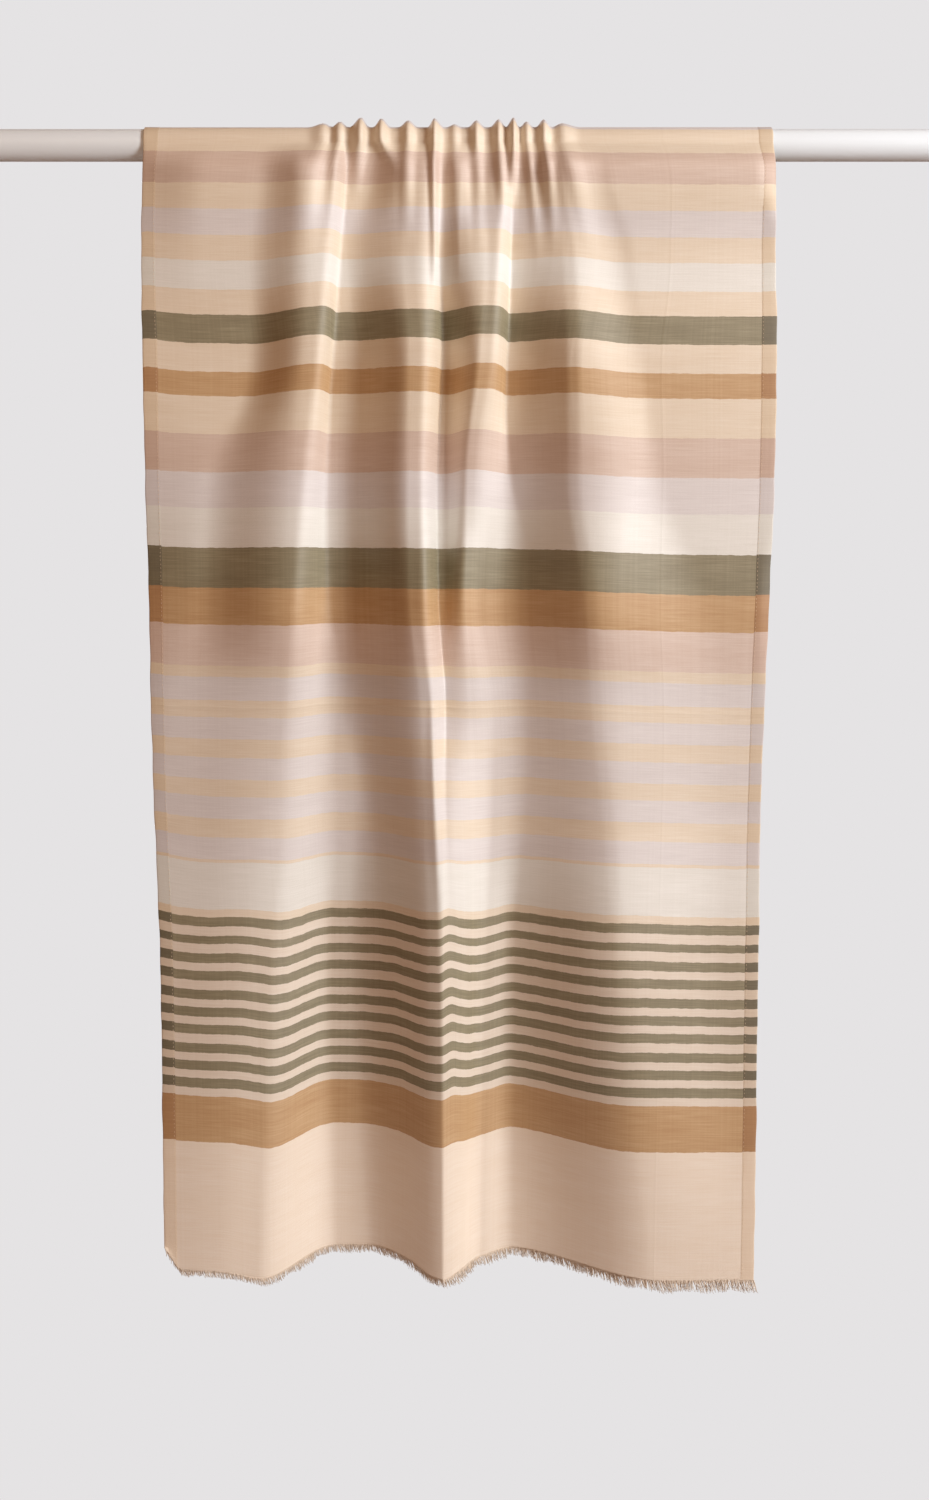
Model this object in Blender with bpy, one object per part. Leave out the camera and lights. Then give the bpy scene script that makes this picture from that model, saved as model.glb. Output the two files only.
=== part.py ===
"""A woven stole with two short fringes, hung over a round rod and gathered at its middle.

The frame's origin is on the rod's axis at the rod's middle. The rod runs along X, the viewer looks
along +Y, and the long front of the cloth hangs down -Z. Sizes in the tables are millimetres.
"""

import bmesh
import bpy
import math
import numpy as np

COLLECTION = "stole_on_rod"
MM = 0.001

# Rod
ROD_RADIUS = 16.0
ROD_LENGTH = 1000.0
ROD_CHAMFER = 1.2
ROD_SIDES = 48

# Cloth: the outer face is modelled, and the wall grows inwards from it.
WALL = 1.2
REST_GAP = 0.3
SEAM_GAP = 0.3
FACE_RADIUS = ROD_RADIUS + REST_GAP + WALL
FRONT_DROP = 1106.0
BACK_DROP = 815.0
LEFT_SHORTER = 6.0
HEM_WIDTH = 14.0
HEM_WALL = 0.9
# The lower left corner curls up
CORNER_RISE = 22.0
CORNER_FROM = 1070.0
CORNER_WIDTH = 16.0
CLOTH_WIDTH = 680.0

# How far the cloth stands out from the rod beside the folds: at the rod, and so much more at each hem
TOP_OUT = 0.4
FRONT_HEM_OUT = 5.6
BACK_HEM_OUT = 3.0

# How far down the rod's level each column of the fold tables is read
FRONT_LEVELS = (0.0, 30.0, 110.0, 220.0, 340.0, 460.0, 560.0, 650.0, 800.0, 1110.0)
BACK_LEVELS = (0.0, 150.0, 450.0, 830.0)
FRONT_EDGES = {
    "left": (-318, -319, -320, -319, -316, -312, -309, -306, -297, -289),
    "right": (306, 306, 306, 305, 302, 297, 293, 290, 285, 278),
}
BACK_EDGES = {"left": (-318.0, -317.0, -310.0, -300.0), "right": (306.0, 304.0, 298.0, 290.0)}

# The rows of a fold that have one value a level
LEVEL_ROWS = ("middle", "height", "left", "right", "rise", "hang")

# One row a fold of the front: its middle, height and widths to each side at the ten levels, and its rise,
# which is how far its cloth hangs above its neighbours, or below them where it is negative. Where hang
# is 1 the fold's right side bulges and ends in a crease.
FRONT_FOLDS = {
    "left_panel": {
        "middle": (-210, -210, -215, -220, -210, -215, -225, -225, -235, -245),
        "height": (0, 14, 6, 0, 4, 9, 8, 12, 27, 48),
        "left": (80, 80, 80, 75, 75, 75, 95, 120, 145, 160),
        "right": (35, 35, 45, 55, 45, 40, 50, 55, 60, 75),
        "rise": (0, -1, -3, -4, -1, -2, -4, -5, -12, -18),
        "hang": (0, 0, 0, 0, 0, 0, 0, 0, 0, 0),
        "flat": 45,
        "keen": 0.0,
    },
    "left_ridge": {
        "middle": (-140, -140, -146, -153, -164, -172, -180, -200, -225, -245),
        "height": (0, 18, 17, 24, 23, 24, 9, 8, 6, 3),
        "left": (58, 58, 62, 53, 86, 88, 100, 90, 80, 75),
        "right": (18, 18, 18, 17, 22, 32, 55, 60, 60, 50),
        "rise": (0, 0, 4, 5, 2, 1, 0, 0, 7, 8),
        "hang": (1, 1, 1, 1, 0.7, 0.4, 0, 0, 0, 0),
        "flat": 5,
        "keen": 0.1,
    },
    "upper_ridge": {
        "middle": (-56, -56, -56, -48, -46, -44, -33, -15, -10, -5),
        "height": (0, 15, 16, 38, 40, 42, 34, 18, 10, 0),
        "left": (32, 32, 58, 57, 67, 68, 85, 78, 45, 25),
        "right": (26, 26, 27, 23, 20, 19, 11, 8, 12, 20),
        "rise": (0, 0, 1, 0, 1, 0, 0, -1, -6, -6),
        "hang": (1, 1, 1, 1, 1, 1, 0.5, 0, 0, 0),
        "flat": 5,
        "keen": 0.15,
    },
    "centre_crease": {
        "middle": (-4, -4, -6, -6, -6, -12, -21, -21, -21, -21),
        "height": (0, 11, 8, 4, 0, 14, 8, 26, 45, 42),
        "left": (52, 52, 80, 72, 65, 70, 90, 88, 94, 75),
        "right": (18, 18, 30, 35, 35, 30, 52, 50, 44, 38),
        "rise": (0, 0, 0, 0, 0, 0, 0, 0, 4, -13),
        "hang": (0, 0, 0, 0, 0, 0, 0, 0, 0, 0),
        "flat": 0,
        "keen": 0.25,
    },
    "right_ridge": {
        "middle": (26, 26, 24, 19, 10, 12, 8, 10, 12, 5),
        "height": (0, 5, 24, 28, 12, 11, 10, 9, 11, 10),
        "left": (56, 56, 62, 42, 38, 40, 50, 50, 25, 10),
        "right": (18, 18, 18, 19, 32, 55, 54, 54, 54, 70),
        "rise": (0, 0, 4, 5, 4, 0, -2, -3, -1, 3),
        "hang": (1, 1, 1, 1, 0.3, 0, 0, 0, 0, 0),
        "flat": 4,
        "keen": 0.15,
    },
    "right_shoulder": {
        "middle": (90, 90, 102, 106, 106, 122, 128, 138, 152, 200),
        "height": (0, 19, 17, 36, 27, 24, 14, 14, 14, 0),
        "left": (110, 110, 75, 60, 80, 95, 110, 120, 120, 105),
        "right": (45, 45, 52, 65, 85, 115, 130, 118, 98, 75),
        "rise": (0, 0, 2, 1, 1, 3, 3, 3, 4, 2),
        "hang": (0, 0, 0, 0, 0, 0, 0, 0, 0, 0),
        "flat": 5,
        "keen": 0.4,
    },
    "right_panel": {
        "middle": (214, 214, 240, 244, 238, 215, 220, 225, 220, 255),
        "height": (0, 24, 13, 27, 28, 30, 23, 23, 39, 52),
        "left": (80, 80, 80, 80, 105, 120, 125, 130, 130, 150),
        "right": (60, 60, 60, 62, 65, 68, 66, 65, 64, 64),
        "rise": (0, -1, -3, -4, -3, -4, -5, -4, -7, -12),
        "hang": (0, 0, 0, 0, 0, 0, 0, 0, 0, 0),
        "flat": 72,
        "keen": 0.1,
    },
}
# How far the whole front and its left edge hang above a level line
FRONT_RISE = (0, 1, 2, 4, 5, 6, 6, 6, 6, 11)
LEFT_EDGE_RISE = (0, 0, 1, 1, 1, 0, 0, 4, 12, 8)
LEFT_EDGE_WIDTH = 80.0

# The same for the back, which the photo doesn't show, at its four levels
BACK_FOLDS = {
    "far_left": {
        "middle": (-222, -222, -226, -232),
        "height": (0, 3, 13, 28),
        "left": (70, 70, 80, 90),
        "right": (55, 55, 62, 70),
        "rise": (0, 1, 0, -3),
        "hang": (0, 0, 0, 0),
        "flat": 18,
        "keen": 0.0,
    },
    "left_ridge": {
        "middle": (-112, -116, -104, -92),
        "height": (0, 10, 17, 27),
        "left": (40, 46, 50, 56),
        "right": (24, 34, 44, 50),
        "rise": (0, 3, 0, -3),
        "hang": (0, 0, 0, 0),
        "flat": 0,
        "keen": 0.2,
    },
    "middle_ridge": {
        "middle": (-12, -8, 4, 14),
        "height": (0, 11, 19, 31),
        "left": (22, 40, 48, 54),
        "right": (22, 36, 46, 56),
        "rise": (0, 3, 0, -3),
        "hang": (0, 0, 0, 0),
        "flat": 0,
        "keen": 0.25,
    },
    "right_ridge": {
        "middle": (98, 104, 118, 126),
        "height": (0, 9, 15, 24),
        "left": (22, 40, 50, 54),
        "right": (40, 50, 54, 56),
        "rise": (0, 3, 0, -2),
        "hang": (0, 0, 0, 0),
        "flat": 0,
        "keen": 0.1,
    },
    "far_right": {
        "middle": (236, 236, 232, 228),
        "height": (0, 2, 10, 25),
        "left": (60, 60, 56, 52),
        "right": (60, 60, 70, 80),
        "rise": (0, 1, 0, -3),
        "hang": (0, 0, 0, 0),
        "flat": 30,
        "keen": 0.0,
    },
}

# One row a pleat over the rod: where it stands, its height, its widths, where it has moved to when it
# has faded, and how far down the front and the back that is
PLEAT_COLUMNS = ("middle", "height", "left", "right", "end", "front_fade", "back_fade")
PLEAT_KEEN = 0.15
PLEAT_FADE = 1.6
PLEATS = {
    "p1": (-140, 4.0, 16, 8, -158, 115, 110),
    "p2": (-124, 6.0, 9, 8, -134, 125, 90),
    "p3": (-103, 10.0, 12, 8, -108, 60, 120),
    "p4": (-83, 9.0, 8, 10, -62, 40, 80),
    "p5": (-56, 7.0, 10, 10, -57, 120, 100),
    "p6": (-30, 9.0, 7, 10, -26, 300, 130),
    "p7": (-10, 3.0, 8, 8, -6, 180, 60),
    "p8": (12, 7.0, 9, 9, 16, 140, 120),
    "p9": (34, 8.0, 9, 8, 40, 100, 90),
    "p10": (49, 10.0, 8, 6, 47, 100, 60),
    "p11": (62, 6.0, 7, 7, 74, 140, 130),
    "p12": (79, 8.0, 8, 8, 90, 130, 100),
    "p13": (97, 4.0, 10, 18, 126, 130, 150),
}

# Rows of cloth down the front, over the rod and down the back
FRONT_ROWS = (
    (0, 12, 26, 42, 60, 82, 106, 135, 168, 205, 250, 300, 360, 420, 480, 530, 565, 600, 640, 700, 780)
    + (870, 960, 1040, FRONT_DROP)
)
CROWN_ROWS = 9
BACK_ROWS = (0, 14, 32, 56, 86, 122, 170, 240, 330, 440, 560, 690, BACK_DROP)
PLAIN_LEFT_COLUMNS = 7
PLAIN_RIGHT_COLUMNS = 8

# Fringes
FRONT_PITCH = 7.0
BACK_PITCH = 8.0
FRINGE_GAP = 0.5
FRINGE_STRIP = 1.6
# Lock lengths at the left and right ends
FRONT_LOCKS = (7.0, 12.0)
BACK_LOCKS = (9.0, 9.0)
FRINGE_THICKNESS = 0.9
TIP_SHARE = 0.24
FRINGE_SLANT = 2.2

# Colours, roughness
MATERIALS = {
    "rod": ((0.86, 0.86, 0.85, 1.0), 0.35),
    "cloth": ((0.78, 0.62, 0.46, 1.0), 0.6),
    "hem": ((0.70, 0.52, 0.36, 1.0), 0.65),
    "fringe": ((0.60, 0.50, 0.40, 1.0), 0.8),
}


def clear_scene():
    for obj in list(bpy.data.objects):
        bpy.data.objects.remove(obj, do_unlink=True)


def between_levels(levels, values, at):
    """A smooth curve through the values that never overshoots them."""
    levels = np.asarray(levels, float)
    values = np.asarray(values, float)
    at = np.clip(np.asarray(at, float), levels[0], levels[-1])
    secant = np.diff(values) / np.diff(levels)
    product = secant[:-1] * secant[1:]
    total = np.where(product > 0, secant[:-1] + secant[1:], 1.0)
    slope = np.concatenate([secant[:1], np.where(product > 0, 2 * product / total, 0.0), secant[-1:]])
    i = np.clip(np.searchsorted(levels, at, side="right") - 1, 0, len(secant) - 1)
    step = levels[i + 1] - levels[i]
    t = (at - levels[i]) / step
    rise = (3 - 2 * t) * t * t
    start = t * (1 - t) ** 2
    end = -t * t * (1 - t)
    return values[i] + (values[i + 1] - values[i]) * rise + step * (slope[i] * start + slope[i + 1] * end)


def bump(x, middle, left, right, flat, keen, hang=0.0):
    """1 at the fold's middle and 0 past its widths: a soft wave, a crest where keen is 1, or hanging over."""
    offset = x - middle
    width = np.where(offset < 0, left, right)
    t = np.clip((np.abs(offset) - flat) / width, 0.0, 1.0)
    soft = (1 - keen) * (0.5 + 0.5 * np.cos(math.pi * t)) + keen * (1 - t) ** 2
    return soft + np.where(offset > 0, hang, 0.0) * (1 - t**3 - soft)


def fold_sums(x, drop, side):
    """How far the folds bring the cloth out, and how far they lift it, at each x of one row."""
    levels, folds = (FRONT_LEVELS, FRONT_FOLDS) if side == "front" else (BACK_LEVELS, BACK_FOLDS)
    out, rise = 0.0 * x, 0.0 * x
    for fold in folds.values():
        at = {key: float(between_levels(levels, fold[key], drop)) for key in LEVEL_ROWS}
        wave = bump(x, at["middle"], at["left"], at["right"], fold["flat"], fold["keen"], at["hang"])
        out += at["height"] * wave
        rise += at["rise"] * wave
    return out, rise


def pleat_height(x, drop, fade_key):
    """The pleats' height at a level down the front or the back. At level 0 they are as over the rod."""
    total = 0.0
    for row in PLEATS.values():
        pleat = dict(zip(PLEAT_COLUMNS, row))
        share = min(drop / pleat[fade_key], 1.0)
        middle = pleat["middle"] + share * (pleat["end"] - pleat["middle"])
        fade = (1 - share) ** PLEAT_FADE
        total = total + fade * pleat["height"] * bump(x, middle, pleat["left"], pleat["right"], 0, PLEAT_KEEN)
    return total


def face_height(x, drop, side):
    """How far the outer face stands out from where cloth lying flat on the rod would hang."""
    low = TOP_OUT + (FRONT_HEM_OUT if side == "front" else BACK_HEM_OUT) * (drop / longest_drop(side)) ** 1.5
    return low + fold_sums(x, drop, side)[0] + pleat_height(x, drop, side + "_fade")


def longest_drop(side):
    return FRONT_DROP if side == "front" else BACK_DROP


def edges_at(drop, side):
    levels, edges = (FRONT_LEVELS, FRONT_EDGES) if side == "front" else (BACK_LEVELS, BACK_EDGES)
    return (float(between_levels(levels, edges[key], drop)) for key in ("left", "right"))


def run_across(drop, side):
    """Positions across one row of cloth, and the share of the cloth's width that lies left of each."""
    left, right = edges_at(drop, side)
    x = np.linspace(left, right, 1601)
    out = face_height(x, drop, side)
    run = np.concatenate([[0.0], np.cumsum(np.hypot(np.diff(x), np.diff(out)))])
    return x, run


def column_shares():
    """Where the mesh's columns lie on the cloth's width, from the pleats' crests, flanks and grooves."""
    x, run = run_across(0.0, "front")
    crests = [row[0] for row in PLEATS.values()]
    stops = [crests[0] - 26.0, *crests, crests[-1] + 30.0]
    grooves = [(a + b) / 2 for a, b in zip(stops[1:-2], stops[2:-1])]
    turns = sorted([*stops, *grooves])
    flanks = [(a + b) / 2 for a, b in zip(turns[:-1], turns[1:])]
    middle = np.interp(sorted([*turns, *flanks]), x, run)
    width = run[-1]
    left = [0.0, HEM_WIDTH / 2, *np.linspace(HEM_WIDTH, middle[0], PLAIN_LEFT_COLUMNS)[:-1]]
    right = [*np.linspace(middle[-1], width - HEM_WIDTH, PLAIN_RIGHT_COLUMNS)[1:]]
    right += [width - HEM_WIDTH / 2, width]
    return np.concatenate([left, middle, right]) / width


def corner_rise(drop, shares):
    low = max(0.0, (drop - CORNER_FROM) / (FRONT_DROP - CORNER_FROM))
    return CORNER_RISE * low**2 * np.clip(1 - shares * CLOTH_WIDTH / CORNER_WIDTH, 0.0, 1.0)


def row_rise(x, drop, side, shares):
    """How far a row of the front or the back hangs above a level line at each x."""
    rise = fold_sums(x, drop, side)[1] + LEFT_SHORTER * (1 - shares) * drop / longest_drop(side)
    if side == "front":
        whole, edge = (float(between_levels(FRONT_LEVELS, row, drop)) for row in (FRONT_RISE, LEFT_EDGE_RISE))
        rise += whole + edge * bump(x, FRONT_EDGES["left"][0], 1.0, LEFT_EDGE_WIDTH, 0, 0.2)
        rise += corner_rise(drop, shares)
    return rise


def fall_row(drop, side, shares):
    """One row of points down the front or the back, in metres."""
    x_all, run = run_across(drop, side)
    x = np.interp(shares * run[-1], run, x_all)
    toward = -1.0 if side == "front" else 1.0
    y = toward * (FACE_RADIUS + face_height(x, drop, side))
    z = row_rise(x, drop, side, shares) - SEAM_GAP / 2 - drop
    return np.stack([x, y, z], axis=1) * MM


def crown_row(angle, shares):
    """One row over the rod: angle 0 is at the front and pi at the back."""
    x_all, run = run_across(0.0, "front")
    x = np.interp(shares * run[-1], run, x_all)
    reach = FACE_RADIUS + face_height(x, 0.0, "front")
    return np.stack([x, -reach * math.cos(angle), SEAM_GAP / 2 + reach * math.sin(angle)], axis=1) * MM


def unit(vectors):
    return vectors / np.linalg.norm(vectors, axis=-1, keepdims=True)


def grid_normals(grid):
    """Unit normals of a grid of points, from each point's neighbours."""
    return unit(np.cross(np.gradient(grid, axis=1), np.gradient(grid, axis=0)))


def level_ends(normals, rows):
    """The normals with those of the rows beside a seam made level, so that the walls there keep apart."""
    for row in rows:
        normals[row, :, 2] = 0.0
        normals[row] = unit(normals[row])
    return normals


def wall_mesh(name, outer, inner):
    """A closed wall between two grids of points of one size."""
    rows, columns = outer.shape[:2]
    bm = bmesh.new()
    sides = [[[bm.verts.new(p) for p in row] for row in grid] for grid in (outer, inner)]
    out, back = sides
    for i in range(rows - 1):
        for j in range(columns - 1):
            bm.faces.new((out[i][j], out[i + 1][j], out[i + 1][j + 1], out[i][j + 1]))
            bm.faces.new((back[i][j], back[i][j + 1], back[i + 1][j + 1], back[i + 1][j]))
    rim = [(0, j) for j in range(columns - 1)] + [(i, columns - 1) for i in range(rows - 1)]
    rim += [(rows - 1, j) for j in range(columns - 1, 0, -1)] + [(i, 0) for i in range(rows - 1, 0, -1)]
    for (i, j), (k, m) in zip(rim, rim[1:] + rim[:1]):
        bm.faces.new((out[i][j], out[k][m], back[k][m], back[i][j]))
    bmesh.ops.recalc_face_normals(bm, faces=bm.faces)
    return finished(bm, name)


def finished(bm, name):
    mesh = bpy.data.meshes.new(name)
    bm.to_mesh(mesh)
    bm.free()
    return bpy.data.objects.new(name, mesh)


def rod():
    bm = bmesh.new()
    half = ROD_LENGTH / 2
    steps = ((-half, ROD_RADIUS - ROD_CHAMFER), (-half + ROD_CHAMFER, ROD_RADIUS))
    steps += tuple((-x, radius) for x, radius in reversed(steps))
    rings = [[bm.verts.new(ring_point(x, radius, k)) for k in range(ROD_SIDES)] for x, radius in steps]
    for a, b in zip(rings, rings[1:]):
        for k in range(ROD_SIDES):
            n = (k + 1) % ROD_SIDES
            bm.faces.new((a[k], a[n], b[n], b[k]))
    bm.faces.new(rings[0])
    bm.faces.new(rings[-1])
    bmesh.ops.recalc_face_normals(bm, faces=bm.faces)
    return finished(bm, "rod")


def ring_point(x, radius, k):
    angle = 2 * math.pi * k / ROD_SIDES
    return (x * MM, radius * math.cos(angle) * MM, radius * math.sin(angle) * MM)


def stretches():
    """The three stretches of cloth as grids of outer points with their normals."""
    shares = column_shares()
    front = np.array([fall_row(drop, "front", shares) for drop in FRONT_ROWS])
    back = np.array([fall_row(drop, "back", shares) for drop in BACK_ROWS])
    angles = np.linspace(0.0, math.pi, CROWN_ROWS)
    crown = np.array([crown_row(angle, shares) for angle in angles])
    return {
        "front_fall": (front, level_ends(grid_normals(front), (0,))),
        "crown": (crown, level_ends(-grid_normals(crown), (0, -1))),
        "back_fall": (back, level_ends(-grid_normals(back), (0,))),
    }


def side_hem(name, grid, normals, columns):
    """A turned hem that lies on a stretch's outer face."""
    near = grid[:, columns] + normals[:, columns] * REST_GAP * MM
    far = near + normals[:, columns] * HEM_WALL * MM
    return wall_mesh(name, far, near)


def lock_stops(run, pitch):
    """Where the locks' roots meet along the edge: at every column of the cloth, and evenly between two."""
    stops = [0.0]
    for a, b in zip(run[:-1], run[1:]):
        count = max(1, round((b - a) / pitch))
        stops += [a + (b - a) * k / count for k in range(1, count + 1)]
    return np.array(stops)


def fringe(name, grid, normals, pitch, lengths):
    """Locks that hang from a narrow strip below the cloth's edge."""
    edge = grid[-1] - normals[-1] * WALL * MM / 2
    run = np.concatenate([[0.0], np.cumsum(np.linalg.norm(np.diff(edge, axis=0), axis=1))])
    at = lock_stops(run, pitch * MM)
    line = np.stack([np.interp(at, run, edge[:, k]) for k in range(3)], axis=1)
    out = unit(np.stack([np.interp(at, run, normals[-1][:, k]) for k in range(3)], axis=1))
    down = unit(np.cross(out, np.gradient(line, axis=0)))
    down *= -np.sign(down[:, 2:])
    out *= FRINGE_THICKNESS * MM / 2
    top = line + down * FRINGE_GAP * MM
    foot = top + down * FRINGE_STRIP * MM
    strands = len(at) - 1
    bm = bmesh.new()
    rows = [[bm.verts.new(p) for p in points] for points in (top + out, top - out, foot - out, foot + out)]
    for k in range(strands):
        for a, b in ((0, 1), (1, 2), (3, 0)):
            bm.faces.new((rows[a][k], rows[b][k], rows[b][k + 1], rows[a][k + 1]))
        length = lengths[0] + (lengths[1] - lengths[0]) * k / strands
        tip = lock_tip(bm, foot[k], foot[k + 1], out[k], length, k)
        root = (rows[2][k], rows[2][k + 1], rows[3][k + 1], rows[3][k])
        for n in range(4):
            bm.faces.new((root[n], root[(n + 1) % 4], tip[(n + 1) % 4], tip[n]))
        bm.faces.new(tip)
    for k in (0, strands):
        bm.faces.new([row[k] for row in rows])
    bmesh.ops.recalc_face_normals(bm, faces=bm.faces)
    return finished(bm, name)


def lock_tip(bm, left, right, out, length, k):
    """The small end of a lock, slanted and uneven in length."""
    length *= (0.72 + 0.28 * math.sin(1.7 * k) * math.sin(0.61 * k + 1.0)) * MM
    slant = FRINGE_SLANT * (1 + 0.6 * math.sin(2.3 * k)) * MM
    middle = (left + right) / 2 + (slant, 0.0, -length)
    reach = (right - left) * TIP_SHARE / 2
    corners = (middle - reach - out * 0.6, middle + reach - out * 0.6)
    corners += (middle + reach + out * 0.6, middle - reach + out * 0.6)
    return [bm.verts.new(p) for p in corners]


def material_for(name, kind):
    colour, roughness = MATERIALS[kind]
    material = bpy.data.materials.new(name)
    material.use_nodes = True
    shader = material.node_tree.nodes["Principled BSDF"]
    shader.inputs["Base Color"].default_value = colour
    shader.inputs["Roughness"].default_value = roughness
    return material


def add_part(collection, obj, kind):
    obj.data.materials.append(material_for(obj.name, kind))
    collection.objects.link(obj)


def main():
    clear_scene()
    collection = bpy.data.collections.new(COLLECTION)
    bpy.context.scene.collection.children.link(collection)
    add_part(collection, rod(), "rod")
    cloth = stretches()
    for name, (grid, normals) in cloth.items():
        add_part(collection, wall_mesh(name, grid, grid - normals * WALL * MM), "cloth")
        add_part(collection, side_hem(name + "_hem_left", grid, normals, slice(0, 3)), "hem")
        add_part(collection, side_hem(name + "_hem_right", grid, normals, slice(-3, None)), "hem")
    add_part(collection, fringe("front_fringe", *cloth["front_fall"], FRONT_PITCH, FRONT_LOCKS), "fringe")
    add_part(collection, fringe("back_fringe", *cloth["back_fall"], BACK_PITCH, BACK_LOCKS), "fringe")


main()
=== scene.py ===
"""Looks of the stole on its rod: the draped cloth, its hems, stitches and fringes, and the studio."""

import math
import random

import bmesh
import bpy
import numpy as np
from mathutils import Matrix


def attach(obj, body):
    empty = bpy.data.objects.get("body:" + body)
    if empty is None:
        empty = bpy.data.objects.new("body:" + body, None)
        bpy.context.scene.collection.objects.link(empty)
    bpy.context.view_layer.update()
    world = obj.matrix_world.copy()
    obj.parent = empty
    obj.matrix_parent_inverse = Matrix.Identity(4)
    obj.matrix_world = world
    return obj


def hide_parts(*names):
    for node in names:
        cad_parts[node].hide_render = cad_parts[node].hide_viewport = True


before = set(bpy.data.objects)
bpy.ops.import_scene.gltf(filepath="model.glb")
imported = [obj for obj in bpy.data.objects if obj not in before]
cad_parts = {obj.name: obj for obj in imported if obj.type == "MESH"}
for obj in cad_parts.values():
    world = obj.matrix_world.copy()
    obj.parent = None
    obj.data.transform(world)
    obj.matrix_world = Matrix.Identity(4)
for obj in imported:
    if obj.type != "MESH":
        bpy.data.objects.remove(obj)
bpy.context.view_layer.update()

MM = 0.001
# How far the cloth's face lies from the rod's axis
FACE_RADIUS = 17.5
FRONT_DROP = 1106.0
BACK_DROP = 815.0
CLOTH_WIDTH = 680.0
CROWN_RUN = math.pi * FACE_RADIUS
LEFT_SHORTER = 6.0
HEM_WIDTH = 14.0
WALL = 0.6
HEM_WALL = 0.3
# How far the cloth stands out on its own at the rod and at both ends, and how fast that grows on the way down
TOP_OUT = 0.4
FRONT_HEM_OUT = 5.6
BACK_HEM_OUT = 3.0
HEM_OUT_GROWTH = 1.5
# The lower left corner curls up
CORNER_RISE = 22.0
CORNER_FROM = 1070.0
CORNER_WIDTH = 16.0

FRONT_LEVELS = (0.0, 30.0, 110.0, 220.0, 340.0, 460.0, 560.0, 650.0, 800.0, 1110.0)
BACK_LEVELS = (0.0, 150.0, 450.0, 830.0)
EDGES = {
    "front": ((-318, -319, -320, -319, -316, -312, -309, -306, -297, -289),
              (306, 306, 306, 305, 302, 297, 293, 290, 285, 278)),
    "back": ((-318, -317, -310, -300), (306, 304, 298, 290)),
}

# One row a fold. At each level: its middle and height, its widths to the left and right, its rise and hang.
# At its end: how wide its flat top is and how keen its crest is. A fold's rise is how far its cloth hangs
# above its neighbours, or below them where it is negative. Where hang is 1 its right side bulges and ends
# in a crease.
FRONT_FOLDS = (
    # left panel
    ((-210, -210, -215, -220, -210, -215, -225, -225, -235, -245), (0, 14, 6, 0, 4, 9, 8, 12, 27, 48),
     (80, 80, 80, 75, 75, 75, 95, 120, 145, 160), (35, 35, 45, 55, 45, 40, 50, 55, 60, 75),
     (0, -1, -3, -4, -1, -2, -4, -5, -12, -18), (0, 0, 0, 0, 0, 0, 0, 0, 0, 0), 45, 0.0),
    # left ridge
    ((-140, -140, -146, -153, -164, -172, -180, -200, -225, -245), (0, 18, 17, 24, 23, 24, 9, 8, 6, 3),
     (58, 58, 62, 53, 86, 88, 100, 90, 80, 75), (18, 18, 18, 17, 22, 32, 55, 60, 60, 50),
     (0, 0, 4, 5, 2, 1, 0, 0, 7, 8), (1, 1, 1, 1, 0.7, 0.4, 0, 0, 0, 0), 5, 0.1),
    # upper middle ridge, down to the pinch
    ((-56, -56, -57, -50, -51, -49, -38, -35, -30, -25), (0, 15, 16, 38, 40, 42, 32, 15, 5, 0),
     (32, 32, 57, 55, 62, 63, 80, 62, 45, 25), (26, 26, 27, 23, 19, 18, 14, 12, 12, 20),
     (0, 0, 1, 0, 1, 0, 0, -1, -6, -6), (1, 1, 1, 1, 1, 1, 0.5, 0, 0, 0), 5, 0.15),
    # centre crease, from the pinch down
    ((-4, -4, -6, -6, -6, -12, -21, -21, -21, -21), (0, 11, 8, 4, 0, 14, 8, 26, 45, 42),
     (52, 52, 80, 72, 65, 70, 90, 88, 94, 75), (18, 18, 30, 35, 35, 30, 52, 50, 44, 38),
     (0, 0, 0, 0, 0, 0, 0, 0, 4, -13), (0, 0, 0, 0, 0, 0, 0, 0, 0, 0), 0, 0.25),
    # right ridge
    ((26, 26, 24, 19, 6, 5, 7, 10, 12, 5), (0, 5, 24, 28, 17, 15, 11, 9, 11, 10),
     (56, 56, 60, 34, 21, 21, 40, 50, 32, 24), (18, 18, 18, 19, 36, 60, 54, 50, 34, 40),
     (0, 0, 4, 5, 4, 0, -2, -3, -7, -7), (1, 1, 1, 1, 0.3, 0, 0, 0, 0, 0), 4, 0.15),
    # right shoulder
    ((90, 90, 102, 106, 106, 122, 128, 138, 152, 200), (0, 19, 17, 36, 27, 24, 14, 14, 14, 0),
     (110, 110, 75, 60, 80, 95, 110, 120, 120, 105), (45, 45, 52, 65, 85, 115, 130, 118, 98, 75),
     (0, 0, 2, 1, 1, 3, 3, 3, 4, -2), (0, 0, 0, 0, 0, 0, 0, 0, 0, 0), 5, 0.4),
    # right panel
    ((214, 214, 240, 244, 238, 215, 220, 225, 220, 255), (0, 24, 13, 27, 28, 30, 23, 23, 39, 52),
     (80, 80, 80, 80, 105, 120, 125, 130, 130, 150), (60, 60, 60, 62, 65, 68, 66, 65, 64, 64),
     (0, -1, -3, -4, -3, -4, -5, -4, -7, -12), (0, 0, 0, 0, 0, 0, 0, 0, 0, 0), 72, 0.1),
)
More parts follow.
